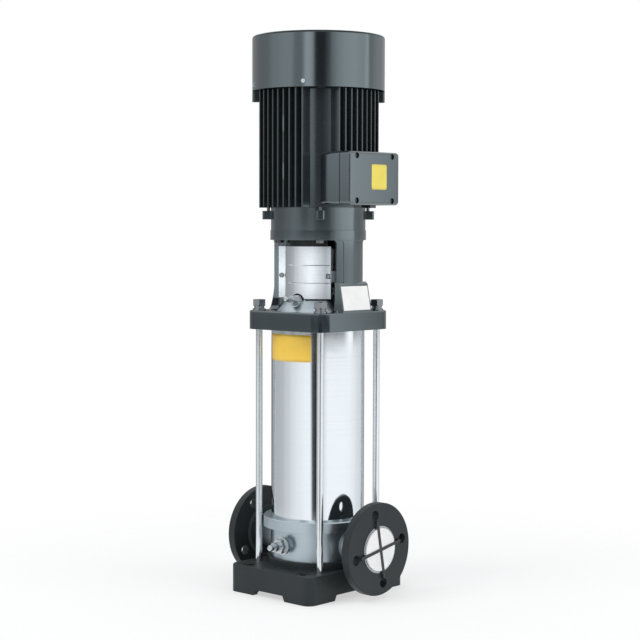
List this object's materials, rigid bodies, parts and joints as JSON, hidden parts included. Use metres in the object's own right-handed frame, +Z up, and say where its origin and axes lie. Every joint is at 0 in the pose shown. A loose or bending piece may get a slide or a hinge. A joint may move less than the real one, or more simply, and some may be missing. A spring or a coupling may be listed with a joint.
{
  "type": "multistage centrifugal pump",
  "caption": "Upright in-line water pump: cast foot, steel body with two pipe flanges, polished stage sleeve held by tie rods, motor stool with coupling guard, finned electric motor on top",
  "frame": {"origin": "middle of the foot's underside, which is the middle of its four foundation bolt holes", "axes": "+Z is up the shaft, +X points out of the discharge port, the vent and drain plugs are on the -Y side"},
  "size_m": [0.3037, 0.2603, 1],
  "materials": {
    "foot_paint": "satin dark slate enamel over cast iron",
    "motor_paint": "satin slate-grey enamel over castings and sheet",
    "stainless": "satin stainless steel",
    "polished_stainless": "mirror-polished stainless steel",
    "stage_steel": "pressed stainless sheet",
    "shaft_steel": "turned steel",
    "zinc": "zinc-plated steel",
    "dark_bolts": "blackened steel",
    "plug_steel": "machined stainless steel",
    "plate_metal": "blank satin plate",
    "black_rubber": "moulded rubber",
    "seal_ring": "hard carbon and ceramic rings",
    "white_plastic": "soft white plastic",
    "black_strap": "black plastic strap",
    "core_steel": "stacked steel laminations",
    "copper": "varnished copper wire",
    "fan_plastic": "moulded black plastic",
    "board_plastic": "moulded dark plastic"
  },
  "bodies": {
    "casing": {"base_plate": "foot_paint", "pump_body": "stainless", "port_rings": "stainless", "outer_sleeve": "polished_stainless", "sleeve_seals": "black_rubber", "suction_guide": "stage_steel", "chamber_1": "stage_steel", "chamber_2": "stage_steel", "chamber_3": "stage_steel", "chamber_4": "stage_steel", "chamber_5": "stage_steel", "chamber_6": "stage_steel", "pump_head": "stainless", "vent_plug": "plug_steel", "drain_plug": "plug_steel", "seal_seat": "seal_ring", "tie_rods": "polished_stainless", "tie_rod_washers": "zinc", "tie_rod_nuts": "zinc", "motor_stool": "motor_paint", "name_plate": "plate_metal", "coupling_guard_front": "stainless", "coupling_guard_rear": "stainless", "guard_screws": "zinc", "bearing_outer_rings": "shaft_steel", "lower_end_shield": "motor_paint", "flange_bolts": "dark_bolts", "shield_bolts": "dark_bolts", "motor_frame": "motor_paint", "stator_core": "core_steel", "stator_windings": "copper", "upper_end_shield": "motor_paint", "fan_cover": "motor_paint", "fan_cover_screws": "zinc", "terminal_box": "motor_paint", "terminal_gasket": "black_rubber", "terminal_lid": "motor_paint", "lid_screws": "dark_bolts", "terminal_block": "board_plastic", "cable_gland": "board_plastic"},
    "rotor": {"pump_shaft": "shaft_steel", "impeller_1": "stage_steel", "impeller_2": "stage_steel", "impeller_3": "stage_steel", "impeller_4": "stage_steel", "impeller_5": "stage_steel", "impeller_6": "stage_steel", "seal_rotor": "seal_ring", "coupling_halves": "shaft_steel", "coupling_screws": "zinc", "motor_shaft": "shaft_steel", "bearing_inner_rings": "shaft_steel", "rotor_core": "core_steel", "cooling_fan": "fan_plastic"},
    "suction_flange": {"suction_flange": "foot_paint"},
    "discharge_flange": {"discharge_flange": "foot_paint"},
    "port_cap": {"port_cap": "white_plastic", "cap_straps": "black_strap"},
    "vent_screw": {"vent_screw": "plug_steel"},
    "drain_screw": {"drain_screw": "plug_steel"}
  },
  "joints": [
    {"name": "rotor_spin", "type": "hinge", "parent": "casing", "child": "rotor", "pos_m": [0, 0, 0.5], "axis": [0, 0, 1], "continuous": true},
    {"name": "suction_flange_turn", "type": "hinge", "parent": "casing", "child": "suction_flange", "pos_m": [-0.14, 0, 0.09], "axis": [1, 0, 0], "continuous": true},
    {"name": "discharge_flange_turn", "type": "hinge", "parent": "casing", "child": "discharge_flange", "pos_m": [0.14, 0, 0.09], "axis": [1, 0, 0], "continuous": true},
    {"name": "cap_pull", "type": "slide", "parent": "discharge_flange", "child": "port_cap", "axis": [1, 0, 0], "range_m": [0, 0.1]},
    {"name": "vent_screw_turn", "type": "hinge", "parent": "casing", "child": "vent_screw", "pos_m": [0.005, -0.062, 0.526], "axis": [0, -0.9781, 0.2079], "range_deg": [0, 720]},
    {"name": "drain_screw_turn", "type": "hinge", "parent": "casing", "child": "drain_screw", "pos_m": [0.005, -0.093, 0.091], "axis": [0, -1, 0], "range_deg": [0, 720]}
  ]
}
